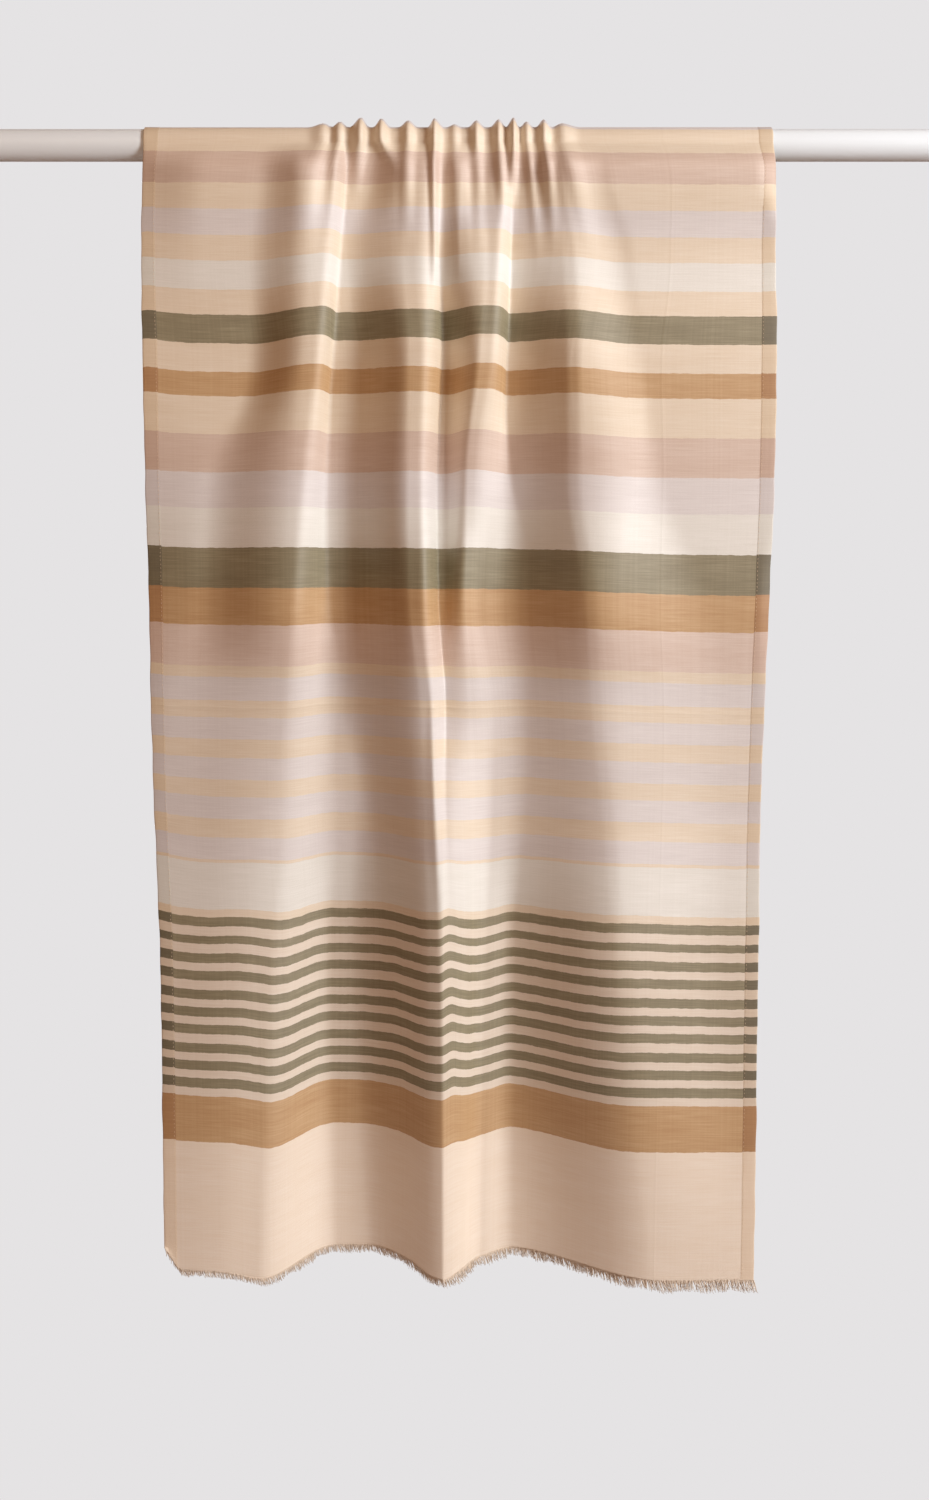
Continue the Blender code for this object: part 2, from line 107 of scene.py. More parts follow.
# How far the whole front and its left edge hang above a level line
WHOLE_RISE = (0, 1, 2, 4, 5, 6, 6, 6, 6, 11)
LEFT_EDGE_RISE = (0, 0, 1, 1, 1, 0, 0, 4, 12, 8)
LEFT_EDGE_WIDTH = 80.0
BACK_FOLDS = (
    ((-222, -222, -226, -232), (0, 3, 13, 28), (70, 70, 80, 90), (55, 55, 62, 70),
     (0, 1, 0, -3), (0, 0, 0, 0), 18, 0.0),
    ((-112, -116, -104, -92), (0, 10, 17, 27), (40, 46, 50, 56), (24, 34, 44, 50),
     (0, 3, 0, -3), (0, 0, 0, 0), 0, 0.2),
    ((-12, -8, 4, 14), (0, 11, 19, 31), (22, 40, 48, 54), (22, 36, 46, 56),
     (0, 3, 0, -3), (0, 0, 0, 0), 0, 0.25),
    ((98, 104, 118, 126), (0, 9, 15, 24), (22, 40, 50, 54), (40, 50, 54, 56),
     (0, 3, 0, -2), (0, 0, 0, 0), 0, 0.1),
    ((236, 236, 232, 228), (0, 2, 10, 25), (60, 60, 56, 52), (60, 60, 70, 80),
     (0, 1, 0, -3), (0, 0, 0, 0), 30, 0.0),
)
# One row a pleat over the rod: its middle, height and widths, where its middle ends,
# and how far down the front and the back it fades
PLEATS = (
    (-140, 4.0, 16, 8, -158, 115, 110),
    (-124, 6.0, 9, 8, -134, 125, 90),
    (-103, 10.0, 12, 8, -108, 60, 120),
    (-83, 9.0, 8, 10, -62, 40, 80),
    (-56, 7.0, 10, 10, -57, 120, 100),
    (-30, 9.0, 7, 10, -26, 300, 130),
    (-10, 3.0, 8, 8, -6, 180, 60),
    (12, 7.0, 9, 9, 16, 140, 120),
    (34, 8.0, 9, 8, 40, 100, 90),
    (49, 10.0, 8, 6, 47, 100, 60),
    (62, 6.0, 7, 7, 74, 140, 130),
    (79, 8.0, 8, 8, 90, 130, 100),
    (97, 4.0, 10, 18, 126, 130, 150),
)
PLEAT_KEEN = 0.15
PLEAT_FADE = 1.6

# The mesh. Its columns are closer together in the middle, and its rows toward the rod.
FRONT_ROWS = 150
CROWN_ROWS = 14
BACK_ROWS = 56
COLUMNS = 218
MIDDLE_CLOSER = 0.22
TOP_CLOSER = 1.15
ACROSS_STEPS = 2001

# The turned hem's section, from outside the cloth's edge inward: places across it, and heights over its face
HEM_ACROSS = (1.6, 0.2, -0.35, -0.3, 0.2, 1.2, 5.0, 9.0, 12.0, HEM_WIDTH, HEM_WIDTH + 0.8)
HEM_HEIGHT = (-0.75, -0.75, -0.4, 0.05, 0.22, 0.26, 0.24, 0.18, 0.09, -0.01, -0.2)
# Past this place across it the hem hardly follows the wave of its outside, only by this share
HEM_LOOSE_TO = 1.5
HEM_LAID_SHARE = 0.35
HEM_PATTERN_SHIFT = 0.8

# A stitch's length, thicknesses across and out of the cloth, pitch, and place from the edge and over the face
STITCH_LENGTH = 1.7
STITCH_WIDE = 0.45
STITCH_THICK = 0.4
STITCH_PITCH = 3.9
STITCH_IN = 12.4
STITCH_OUT = 0.22
STITCH_END = 6.0

# The fringes: threads at each end, their lengths at the left and right, and how far they lean to the right
FRINGE_THREADS = 1400
FRONT_FRINGE = ((7.0, 13.0), 0.35)
BACK_FRINGE = ((9.0, 9.0), 0.05)
THREAD_RADIUS = 0.38

# Colours as they read in the photo's flat light
PALETTE = {
    "peach": (223, 209, 188),
    "mauve": (207, 186, 171),
    "lilac": (216, 211, 210),
    "ivory": (224, 223, 217),
    "sage": (131, 122, 91),
    "caramel": (189, 152, 104),
    "rose": (214, 195, 182),
    "pink": (223, 211, 195),
    "cream": (235, 222, 205),
}
# Bands of stripes from the front hem up and over: the level below the rod where each starts, and its stripes
TOP_STRIPES = (
    ("peach", 29.1), ("mauve", 29.8), ("peach", 24.8), ("lilac", 27.8), ("peach", 23.9), ("ivory", 28.8),
    ("peach", 25.8), ("sage", 28.8), ("peach", 25.8), ("caramel", 27.8), ("peach", 37.6), ("mauve", 38.6),
    ("lilac", 38.4), ("ivory", 38.4), ("sage", 38.3), ("caramel", 37.1), ("rose", 40.0),
)
MIDDLE_STRIPES = (
    ("peach", 11.7), ("lilac", 21.4), ("peach", 17.4), ("lilac", 20.3), ("peach", 18.3), ("lilac", 21.2),
    ("peach", 17.4), ("lilac", 20.1), ("peach", 18.2), ("lilac", 21.1), ("peach", 3.8), ("ivory", 44.8),
    ("peach", 7.7),
)
PIN_PITCH = 17.15
PIN_COUNT = 10
PIN_SAGE = 8.9
END_STRIPES = (("caramel", 43.8), ("cream", 140.0))
BACK_JOIN = (("lilac", 40.0), ("mauve", 38.0), ("peach", 44.0))
STRIPE_TOP = -15.0
# How far the pattern's left side is set higher
UV_LEFT_UP = 4.5
# How many stripes one colour ramp holds
RAMP_STRIPES = 30

# The weave: pitches of its threads, and how far a stripe's edge wanders
WEFT_PITCH = 0.9
WARP_PITCH = 0.8
EDGE_WANDER = 2.2

# Storage creases: their places below the rod and from the left edge, their half widths,
# and where across the cloth the level one is strongest
LEVEL_CREASE = 567.0
LEVEL_CREASE_WIDTH = 4.5
LEVEL_CREASE_WANDER = 3.0
UPRIGHT_CREASE = 575.0
UPRIGHT_CREASE_WIDTH = 3.0
UPRIGHT_CREASE_HEIGHT = 0.15
STRONGEST_AT = 310.0
STRONGEST_WIDTH = 140.0

# How deep the colours look in one layer of cloth and in a hem's layers, and how far threads differ from that
CLOTH_DEPTH = 1.0
HEM_DEPTH = 1.45
DARK_THREADS = 0.26
PALE_THREADS = 0.2
SEWING_THREAD = (226, 205, 178)
WARP_YARN = (222, 207, 189)
# The rod's white paint with a painted cool tint, a stand-in for neutral light against the studio's warm lamps
ROD_PAINT_COOLED_FOR_WARM_LIGHT = (0.80, 0.88, 0.94, 1.0)

# Photo and camera
PHOTO_HIGH = 1500
EYE_ROW = 550.0
ROD_ROW = 145.5
DISTANCE = 2.0

# The studio. One row a light: its name, place, target, size, power and colour.
LIGHTS = (
    ("key", (2.15, -1.45, 0.55), (0.0, 0.0, -0.5), (0.9, 1.5), 88.0, (1.0, 0.99, 0.98)),
    ("fill", (-0.6, -2.6, 0.4), (0.0, 0.0, -0.5), (1.6, 1.6), 1.9, (1.0, 0.55, 0.28)),
    ("top", (0.2, -0.2, 1.6), (0.0, 0.0, 0.0), (1.6, 0.8), 0.6, (1.0, 1.0, 1.0)),
    ("upper left", (-0.55, -0.9, 0.4), (-0.25, 0.0, -0.1), (0.6, 0.4), 1.9, (1.0, 0.8, 0.62)),
    ("behind", (-2.2, 2.0, 0.5), (0.0, 0.0, -0.4), (0.9, 1.5), 64.0, (1.0, 0.98, 0.96)),
)
BACKDROP = (229, 227, 228)
SOFT_LIGHT = (1.0, 0.34, 0.06, 1.0)
SOFT_LIGHT_POWER = 0.16
FLOOR_COLOUR = (236, 235, 235)
FLOOR_LEVEL = -1.62
FLOOR_CORNERS = ((-1.4, -1.2), (1.4, -1.2), (1.4, 0.42), (-1.4, 0.42))


def between_levels(levels, values, at):
    """A smooth curve through the values that never overshoots them."""
    levels = np.asarray(levels, float)
    values = np.asarray(values, float)
    at = np.clip(np.asarray(at, float), levels[0], levels[-1])
    secant = np.diff(values) / np.diff(levels)
    product = secant[:-1] * secant[1:]
    total = np.where(product > 0, secant[:-1] + secant[1:], 1.0)
    slope = np.concatenate([secant[:1], np.where(product > 0, 2 * product / total, 0.0), secant[-1:]])
    i = np.clip(np.searchsorted(levels, at, side="right") - 1, 0, len(secant) - 1)
    step = levels[i + 1] - levels[i]
    t = (at - levels[i]) / step
    rise = (3 - 2 * t) * t * t
    start = t * (1 - t) ** 2
    end = -t * t * (1 - t)
    return values[i] + (values[i + 1] - values[i]) * rise + step * (slope[i] * start + slope[i + 1] * end)


def bump(x, middle, left, right, flat, keen, hang=0.0):
    """1 at the fold's middle and 0 past its widths. hang is how far its right side bulges, from 0 to 1."""
    offset = x - middle
    t = np.clip((np.abs(offset) - flat) / np.where(offset < 0, left, right), 0.0, 1.0)
    soft = (1 - keen) * (0.5 + 0.5 * np.cos(math.pi * t)) + keen * (1 - t) ** 2
    return soft + np.where(offset > 0, hang, 0.0) * (1 - t**3 - soft)


def fold_sums(x, drop, side):
    """How far the folds bring the cloth out, and how far they lift it, at each x of one row."""
    levels, folds = (FRONT_LEVELS, FRONT_FOLDS) if side == "front" else (BACK_LEVELS, BACK_FOLDS)
    out, rise = 0.0 * x, 0.0 * x
    for *columns, flat, keen in folds:
        middle, height, left, right, lift, hang = (between_levels(levels, column, drop) for column in columns)
        wave = bump(x, middle, left, right, flat, keen, hang)
        out = out + height * wave
        rise = rise + lift * wave
    return out, rise


def face_height(x, drop, side):
    """How far the cloth stands out at each x of one row, in millimetres."""
    longest, hem_out = (FRONT_DROP, FRONT_HEM_OUT) if side == "front" else (BACK_DROP, BACK_HEM_OUT)
    total = TOP_OUT + hem_out * (drop / longest) ** HEM_OUT_GROWTH + fold_sums(x, drop, side)[0]
    for middle, height, left, right, end, front_fade, back_fade in PLEATS:
        share = np.minimum(drop / (front_fade if side == "front" else back_fade), 1.0)
        fade = (1 - share) ** PLEAT_FADE
        total = total + fade * height * bump(x, middle + share * (end - middle), left, right, 0, PLEAT_KEEN)
    return total


def across(drop, side, shares):
    """x and standing-out of each column of a row, so that the cloth keeps its width along the folds."""
    levels = FRONT_LEVELS if side == "front" else BACK_LEVELS
    left, right = (float(between_levels(levels, edge, drop)) for edge in EDGES[side])
    x = np.linspace(left, right, ACROSS_STEPS)
    out = face_height(x, drop, side)
    run = np.concatenate([[0.0], np.cumsum(np.hypot(np.diff(x), np.diff(out)))])
    at = np.interp(shares * run[-1], run, x)
    return at, face_height(at, drop, side)


def row_rise(x, drop, side, shares):
    """How far a row's cloth hangs above a level line at each x."""
    rise = fold_sums(x, drop, side)[1]
    if side == "back":
        return rise + LEFT_SHORTER * (1 - shares) * drop / BACK_DROP
    whole, edge = (between_levels(FRONT_LEVELS, row, drop) for row in (WHOLE_RISE, LEFT_EDGE_RISE))
    rise = rise + whole + edge * bump(x, EDGES["front"][0][0], 1.0, LEFT_EDGE_WIDTH, 0, 0.2)
    low = max(0.0, (drop - CORNER_FROM) / (FRONT_DROP - CORNER_FROM))
    corner = CORNER_RISE * low**2 * np.clip(1 - shares * CLOTH_WIDTH / CORNER_WIDTH, 0.0, 1.0)
    return rise + corner + LEFT_SHORTER * (1 - shares) * drop / FRONT_DROP


def fall_row(drop, side, shares):
    """One row of points across the front or back, in metres."""
    x, out = across(drop, side, shares)
    toward = -1.0 if side == "front" else 1.0
    return np.stack([x, toward * (FACE_RADIUS + out), row_rise(x, drop, side, shares) - drop], axis=1) * MM


def crown_row(angle, shares):
    """One row of points over the rod, in metres. The angle is 0 at the front and pi at the back."""
    x, out = across(0.0, "front", shares)
    reach = FACE_RADIUS + out
    return np.stack([x, -reach * math.cos(angle), reach * math.sin(angle)], axis=1) * MM


def unit(vectors):
    return vectors / np.linalg.norm(vectors, axis=-1, keepdims=True)


class Cloth:
    """The whole stole as one grid of points, from the front hem over the rod to the back hem."""

    def __init__(self):
        t = np.linspace(0.0, 1.0, COLUMNS)
        self.shares = t + MIDDLE_CLOSER * np.sin(2 * math.pi * t) / math.pi
        front = FRONT_DROP * (1 - np.linspace(0.0, 1.0, FRONT_ROWS)) ** TOP_CLOSER
        angles = np.linspace(0.0, math.pi, CROWN_ROWS + 2)[1:-1]
        back = BACK_DROP * np.linspace(0.0, 1.0, BACK_ROWS)
        rows = [fall_row(drop, "front", self.shares) for drop in front]
        rows += [crown_row(angle, self.shares) for angle in angles]
        rows += [fall_row(drop, "back", self.shares) for drop in back]
        self.points = np.array(rows)
        self.runs = np.concatenate([front, -FACE_RADIUS * angles, -CROWN_RUN - back])
        self.across = np.gradient(self.points, axis=1)
        self.normals = unit(np.cross(self.across, np.gradient(self.points, axis=0)))
        self.across = unit(self.across)

    def at(self, share, run, out=0.0):
        """The point at a share of the width and a place along the cloth, moved out by so many millimetres."""
        share = np.asarray(share, float)
        run = np.asarray(run, float)
        row = np.interp(-run, -self.runs, np.arange(len(self.runs)))
        col = np.interp(share, self.shares, np.arange(len(self.shares)))
        i = np.clip(row.astype(int), 0, len(self.runs) - 2)
        j = np.clip(col.astype(int), 0, len(self.shares) - 2)
        row_part, col_part = (row - i)[..., None], (col - j)[..., None]
        found = []
        for grid in (self.points, self.normals, self.across):
            this_row = grid[i, j] * (1 - col_part) + grid[i, j + 1] * col_part
            next_row = grid[i + 1, j] * (1 - col_part) + grid[i + 1, j + 1] * col_part
            found.append(this_row * (1 - row_part) + next_row * row_part)
        point, normal, across = found
        past = (share - np.clip(share, 0.0, 1.0)) * CLOTH_WIDTH
        return point + (unit(normal) * np.asarray(out, float)[..., None] + across * past[..., None]) * MM

    def uv(self, share, run):
        """The pattern's coordinates in metres, across and along the cloth. Its left side is set higher."""
        run = np.asarray(run, float)
        up = UV_LEFT_UP * (1 - np.asarray(share)) * (1 - 0.5 * np.clip(run / FRONT_DROP, 0.0, 1.0))
        return share * CLOTH_WIDTH * MM, (run + up) * MM


def new_object(bm, name, material):
    """A smooth object from a bmesh, which it uses up."""
    mesh = bpy.data.meshes.new(name)
    bm.to_mesh(mesh)
    bm.free()
    mesh.materials.append(material)
    for face in mesh.polygons:
        face.use_smooth = True
    obj = bpy.data.objects.new(name, mesh)
    bpy.context.scene.collection.objects.link(obj)
    return obj


def draped_grid(points, u, v):
    """A grid laid on rows of points, with u and v as its pattern's coordinates and its cut edges sharp."""
    rows, columns = points.shape[:2]
    bm = bmesh.new()
    bmesh.ops.create_grid(bm, x_segments=columns - 1, y_segments=rows - 1, size=1.0, calc_uvs=True)
    layer = bm.loops.layers.uv.verify()
    for vert in bm.verts:
        row = round((vert.co.y + 1) / 2 * (rows - 1))
        column = round((vert.co.x + 1) / 2 * (columns - 1))
        vert.co = points[row, column]
        for loop in vert.link_loops:
            loop[layer].uv = (u[row, column], v[row, column])
    for edge in bm.edges:
        edge.smooth = not edge.is_boundary
    return bm


def give_wall(obj, thickness):
    """Thickens a sheet inward, away from its face."""
    wall = obj.modifiers.new("wall", "SOLIDIFY")
    wall.thickness = thickness * MM
    wall.offset = -1.0


def build_sheet(cloth, material):
    share, run = np.meshgrid(cloth.shares, cloth.runs)
    u, v = cloth.uv(share, run)
    sheet = new_object(draped_grid(cloth.points, u, v), "stole_cloth", material)
    give_wall(sheet, WALL)
    return sheet


def build_hem(cloth, name, from_left, material):
    """A turned edge that lies on the cloth's face and goes round its side, a little wavy outside."""
    runs = cloth.runs
    section, height = np.array(HEM_ACROSS), np.array(HEM_HEIGHT)
    # Three waves of unlike lengths, so that the edge never repeats
    wave = 0.45 * np.sin(runs / 21.0) * np.sin(runs / 57.0 + 1.0) + 0.25 * np.sin(runs / 7.3)
    wave += 0.3 * np.sin(runs / 133.0 + (0.0 if from_left else 2.0))
    follows = np.where(section < HEM_LOOSE_TO, 1.0, HEM_LAID_SHARE)
    reach = section[None, :] + wave[:, None] * follows[None, :]
    share = reach / CLOTH_WIDTH
    if not from_left:
        share = (1 - share)[:, ::-1]
        height = height[::-1]
    run = np.repeat(runs[:, None], len(section), axis=1)
    points = cloth.at(share, run, np.repeat(height[None, :], len(runs), axis=0))
    u, v = cloth.uv(share, run + HEM_PATTERN_SHIFT)
    hem = new_object(draped_grid(points, u, v), name, material)
    give_wall(hem, HEM_WALL)
    return hem


def template(bm):
    """A small mesh that is copied many times, from a bmesh, which it uses up."""
    mesh = bpy.data.meshes.new("template")
    bm.to_mesh(mesh)
    bm.free()
    return mesh


def stitch_template():
    """A plump stitch along Z, one unit long and wide."""
    bm = bmesh.new()
    bmesh.ops.create_icosphere(bm, subdivisions=1, radius=0.5)
    return template(bm)


def thread_template():
    """A cut thread along Z from 0 to 1 that tapers to its end, in four lengths so that it can bend."""
    bm = bmesh.new()
    bmesh.ops.create_cone(bm, cap_ends=True, segments=3, radius1=1.0, radius2=0.45, depth=1.0)
    bmesh.ops.translate(bm, verts=bm.verts, vec=(0.0, 0.0, 0.5))
    long_edges = [edge for edge in bm.edges if abs(edge.verts[0].co.z - edge.verts[1].co.z) > 0.5]
    bmesh.ops.subdivide_edges(bm, edges=long_edges, cuts=3, use_grid_fill=True)
    return template(bm)


def add_copy(bm, shape, place):
    """Adds a copy of a small mesh, with each of its points moved by place()."""
    bm.from_mesh(shape)
    bm.verts.ensure_lookup_table()
    for vert in bm.verts[-len(shape.vertices):]:
        vert.co = place(vert.co)


def build_stitches(cloth, name, from_left, material):
    """A row of short stitches along the turned hem's inner side."""
    bm = bmesh.new()
    shape = stitch_template()
    rng = random.Random(7 if from_left else 8)
    run = FRONT_DROP - STITCH_END
    while run > STITCH_END - CROWN_RUN - BACK_DROP:
        length = STITCH_LENGTH + rng.uniform(-0.3, 0.3)
        off = (STITCH_IN + rng.uniform(-0.2, 0.2)) / CLOTH_WIDTH
        share = off if from_left else 1 - off
        ends = cloth.at([share, share], [run, run - length], [STITCH_OUT, STITCH_OUT])
        middle, along = (ends[0] + ends[1]) / 2, ends[1] - ends[0]
        out = cloth.at([share], [run], [1.0])[0] - cloth.at([share], [run], [0.0])[0]
        side = unit(np.cross(along, out)) * STITCH_WIDE * MM

        def place(co, middle=middle, along=along, out=out, side=side):
            return middle + along * co.z + side * co.x + out * STITCH_THICK * co.y

        add_copy(bm, shape, place)
        run -= STITCH_PITCH + rng.uniform(-0.25, 0.25)
    bmesh.ops.recalc_face_normals(bm, faces=bm.faces)
    return new_object(bm, name, material)


def build_fringe(cloth, name, run_end, lengths, lean, material):
    """Loose warp ends below a hem, in clumps. lengths are at the left and right end, in millimetres."""
    rng = random.Random(11 if run_end > 0 else 12)
    bm = bmesh.new()
    shape = thread_template()
    inside = 1.0 if run_end > 0 else -1.0
    for k in range(FRINGE_THREADS):
        share = (k + rng.uniform(0.1, 0.9)) / FRINGE_THREADS
        clump = math.sin(share * 90.0) + 0.6 * math.sin(share * 213.0 + 1.0)
        length = lengths[0] + (lengths[1] - lengths[0]) * share
        length *= (0.74 + 0.26 * rng.random() + 0.08 * clump) * MM
        root = cloth.at([share], [run_end - inside * 1.0], [-0.2])[0]
        leans = lean * (0.6 + 0.5 * rng.random()) + 0.08 * clump
        way = np.array([leans, rng.uniform(-0.12, 0.12), -1.0]) * length
        bend = np.array([rng.uniform(-0.25, 0.25), rng.uniform(-0.15, 0.15), 0.0]) * length
        radius = (THREAD_RADIUS + 0.14 * rng.random()) * MM

        def place(co, root=root, way=way, bend=bend, radius=radius):
            return root + way * co.z + bend * co.z**2 + np.array((co.x, co.y, 0.0)) * radius

        add_copy(bm, shape, place)
    bmesh.ops.recalc_face_normals(bm, faces=bm.faces)
    return new_object(bm, name, material)


def linear(colour):
    """An 8-bit display colour as Blender's linear one."""
    parts = [c / 255 for c in colour]
    return tuple(c / 12.92 if c <= 0.04045 else ((c + 0.055) / 1.055) ** 2.4 for c in parts) + (1.0,)


def add(tree, kind, inputs=None, **settings):
    """A new shader node. inputs are linked where they are another node's socket, or else set."""
    node = tree.nodes.new("ShaderNode" + kind)
    for key, value in settings.items():
        setattr(node, key, value)
    for key, value in (inputs or {}).items():
        if isinstance(value, bpy.types.NodeSocket):
            tree.links.new(value, node.inputs[key])
        else:
            node.inputs[key].default_value = value
    return node


def calc(tree, operation, *values, clamp=False):
    inputs = dict(enumerate(values))
    return add(tree, "Math", inputs, operation=operation, use_clamp=clamp).outputs[0]


def new_group(name, inputs, outputs):
    """A shader node group, its input node and its output node."""
    group = bpy.data.node_groups.new(name, "ShaderNodeTree")
    for title, kind in inputs:
        group.interface.new_socket(title, in_out="INPUT", socket_type=kind)
    for title, kind in outputs:
        group.interface.new_socket(title, in_out="OUTPUT", socket_type=kind)
    return group, group.nodes.new("NodeGroupInput"), group.nodes.new("NodeGroupOutput")


def stripe_table():
    """Every stripe of both falls, in order: the run it starts at, the run it ends at, and its colour."""
    pins = []
    for _ in range(PIN_COUNT):
        pins += [("sage", PIN_SAGE), ("pink", PIN_PITCH - PIN_SAGE)]
    front = list(TOP_STRIPES + MIDDLE_STRIPES) + pins + list(END_STRIPES)
    level = STRIPE_TOP
    rows = []
    for name, width in front:
        rows.append((level, level + width, name))
        level += width
    back = list(BACK_JOIN) + list(TOP_STRIPES[-4:]) + list(MIDDLE_STRIPES) + pins + list(END_STRIPES)
    level = STRIPE_TOP
    for name, width in back:
        rows.append((level - width, level, name))
        level -= width
    return sorted(rows)


def stripe_group():
    """Stripe colour at a place along the cloth. A colour ramp holds 32 stops, so ramps are chained."""
    group, given, result = new_group(
        "stripe colours", [("Along", "NodeSocketFloat")], [("Colour", "NodeSocketColor")],
    )
    rows = stripe_table()
    colour = None
    for first in range(0, len(rows), RAMP_STRIPES):
        part = rows[first:first + RAMP_STRIPES]
        low, high = part[0][0] * MM, part[-1][1] * MM
        place = calc(group, "DIVIDE", calc(group, "SUBTRACT", given.outputs[0], low), high - low)
        ramp = add(group, "ValToRGB", {"Fac": place})
        ramp.color_ramp.interpolation = "CONSTANT"
        fill_ramp(ramp.color_ramp, part, low, high)
        if colour is None:
            colour = ramp.outputs["Color"]
            continue
        above = calc(group, "GREATER_THAN", given.outputs[0], low)
        colour = mix_colour(group, "MIX", above, colour, ramp.outputs["Color"])
    group.links.new(colour, result.inputs[0])
    return group


def fill_ramp(ramp, part, low, high):
    """Gives a colour ramp one stop a stripe, over the stretch from low to high."""
    while len(ramp.elements) > 1:
        ramp.elements.remove(ramp.elements[-1])
    ramp.elements[0].position = 0.0
    ramp.elements[0].color = linear(PALETTE[part[0][2]])
    for start, _, name in part[1:]:
        stop = ramp.elements.new((start * MM - low) / (high - low))
        stop.color = linear(PALETTE[name])


def mix_colour(tree, blend, factor, a, b):
    """The colour of a new Mix node, whose colour sockets are found by their type."""
    node = tree.nodes.new("ShaderNodeMix")
    node.data_type = "RGBA"
    node.blend_type = blend
    sockets = {socket.name: socket for socket in node.inputs if socket.type == "RGBA"}
    for socket, value in ((node.inputs[0], factor), (sockets["A"], a), (sockets["B"], b)):
        if isinstance(value, bpy.types.NodeSocket):
            tree.links.new(value, socket)
        else:
            socket.default_value = value
    return next(socket for socket in node.outputs if socket.type == "RGBA")


def weave_group():
    """Fine threads, thicker weft and long warp lines: a height for bump, and a mask of pale and dark."""
    group, given, result = new_group(
        "silky weave", [("Across", "NodeSocketFloat"), ("Along", "NodeSocketFloat")],
        [("Height", "NodeSocketFloat"), ("Streaks", "NodeSocketFloat"), ("Edge shift", "NodeSocketFloat")],
    )
    u, v = given.outputs[0], given.outputs[1]
    weft = calc(group, "SINE", calc(group, "MULTIPLY", v, 2 * math.pi / (WEFT_PITCH * MM)))
    warp = calc(group, "SINE", calc(group, "MULTIPLY", u, 2 * math.pi / (WARP_PITCH * MM)))
    cross = calc(group, "MULTIPLY", weft, warp)
    slub = noise_of(group, u, 28.0, v, 900.0, 2.0)
    line = noise_of(group, u, 420.0, v, 3.0, 2.0)
    broad = noise_of(group, u, 9.0, v, 60.0, 3.0)
    height = weighted_sum(group, (cross, 0.25), (slub, 0.9), (line, 0.35))
    streaks = weighted_sum(group, (slub, 0.5), (line, 0.2), (broad, 0.3))
    edge = noise_of(group, u, 90.0, v, 12.0, 3.0)
    shift = calc(group, "MULTIPLY", calc(group, "SUBTRACT", edge, 0.5), EDGE_WANDER * MM)
    for value, socket in zip((height, streaks, shift), result.inputs):
        group.links.new(value, socket)
    return group


def noise_of(tree, u, across, v, along, detail):
    """Noise with so many spots a metre across the cloth and along it."""
    x, y = calc(tree, "MULTIPLY", u, across), calc(tree, "MULTIPLY", v, along)
    place = add(tree, "CombineXYZ", {"X": x, "Y": y}).outputs[0]
    noise = add(tree, "TexNoise", {"Vector": place, "Scale": 1.0, "Detail": detail, "Roughness": 0.55})
    return noise.outputs["Fac"]


def weighted_sum(tree, *terms):
    """The sum of values, each times its weight."""
    total, *others = (calc(tree, "MULTIPLY", value, weight) for value, weight in terms)
    for other in others:
        total = calc(tree, "ADD", total, other)
    return total


def crease_group():
    """The folds it was stored in: one line across the cloth and one along it, as a height."""
    group, given, result = new_group(
        "storage creases", [("Across", "NodeSocketFloat"), ("Along", "NodeSocketFloat")],
        [("Height", "NodeSocketFloat")],
    )
    u, v = given.outputs[0], given.outputs[1]
    wander = calc(group, "SUBTRACT", noise_of(group, u, 14.0, v, 2.0, 2.0), 0.5)
    along = calc(group, "ADD", v, calc(group, "MULTIPLY", wander, LEVEL_CREASE_WANDER * MM))
    level_crease = ridge_at(group, along, LEVEL_CREASE, LEVEL_CREASE_WIDTH)
    upright_crease = ridge_at(group, u, UPRIGHT_CREASE, UPRIGHT_CREASE_WIDTH)
    strength = calc(group, "MULTIPLY_ADD", ridge_at(group, u, STRONGEST_AT, STRONGEST_WIDTH), 0.75, 0.3)
    level_crease = calc(group, "MULTIPLY", level_crease, strength)
    upright_crease = calc(group, "MULTIPLY", upright_crease, UPRIGHT_CREASE_HEIGHT)
    group.links.new(calc(group, "ADD", level_crease, upright_crease), result.inputs[0])
    return group


def ridge_at(tree, value, middle, width):
    """1 where the value, in metres, is at the middle, and 0 past the width, both in millimetres."""
    away = calc(tree, "ABSOLUTE", calc(tree, "SUBTRACT", value, middle * MM))
    share = calc(tree, "SUBTRACT", 1.0, calc(tree, "DIVIDE", away, width * MM), clamp=True)
    return calc(tree, "MULTIPLY", share, share)


def by_streaks(tree, streaks, in_dark, in_pale):
    """A value that goes from in_dark, in the weave's dark streaks, to in_pale, in its pale ones."""
    inputs = {"Value": streaks, "From Min": 0.3, "From Max": 0.7, "To Min": in_dark, "To Max": in_pale}
    return add(tree, "MapRange", inputs).outputs[0]


